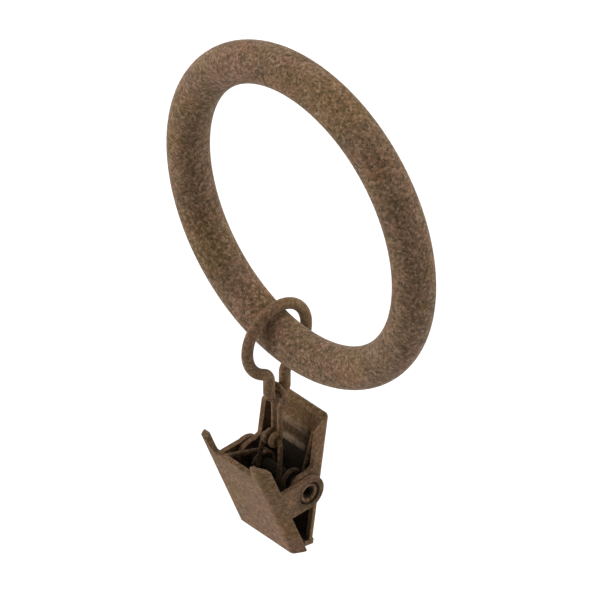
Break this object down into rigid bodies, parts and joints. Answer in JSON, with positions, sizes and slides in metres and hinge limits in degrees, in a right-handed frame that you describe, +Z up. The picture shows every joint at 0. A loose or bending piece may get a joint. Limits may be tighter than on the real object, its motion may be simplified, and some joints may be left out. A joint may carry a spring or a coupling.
{
  "type": "curtain ring with clip",
  "caption": "Round curtain ring with a loose wire eyelet and a hanging spring clip: the ring threads on a curtain rod and the clip's jaws pinch the cloth.",
  "frame": {"origin": "centre of the ring", "axes": "+Y along the ring's axis and the rod, away from the front jaw; +Z up, with the clip hanging towards -Z; +X to the right seen from the front jaw's side"},
  "size_m": [0.0496, 0.0152, 0.0796],
  "materials": {
    "coat": "matt textured rust-brown coat",
    "spring_coat": "matt rust-brown coat on spring wire"
  },
  "bodies": {
    "ring": {"ring": "coat"},
    "eyelet": {"eyelet": "coat"},
    "hanger": {"hanger": "coat"},
    "clip": {"back_jaw": "coat", "pivot_pin": "coat", "spring": "spring_coat"},
    "jaw": {"front_jaw": "coat"}
  },
  "joints": [
    {"name": "eyelet_travel", "type": "hinge", "parent": "ring", "child": "eyelet", "pos_m": [0, 0, 0], "axis": [0, 1, 0], "continuous": true},
    {"name": "hanger_swing", "type": "hinge", "parent": "eyelet", "child": "hanger", "pos_m": [-0.00455, 0, -0.03175], "axis": [0, 1, 0], "range_deg": [-90, 90]},
    {"name": "clip_rock", "type": "hinge", "parent": "hanger", "child": "clip", "pos_m": [-0.00455, -0.00082, -0.03865], "axis": [1, 0, 0], "range_deg": [-20, 20]},
    {"name": "jaw_open", "type": "hinge", "parent": "clip", "child": "jaw", "pos_m": [-0.00455, -0.00002, -0.04481], "axis": [-1, 0, 0], "range_deg": [0, 20], "stiffness_Nm_per_rad": 0.02, "springref_deg": -34.38, "deforming": ["spring"]}
  ]
}
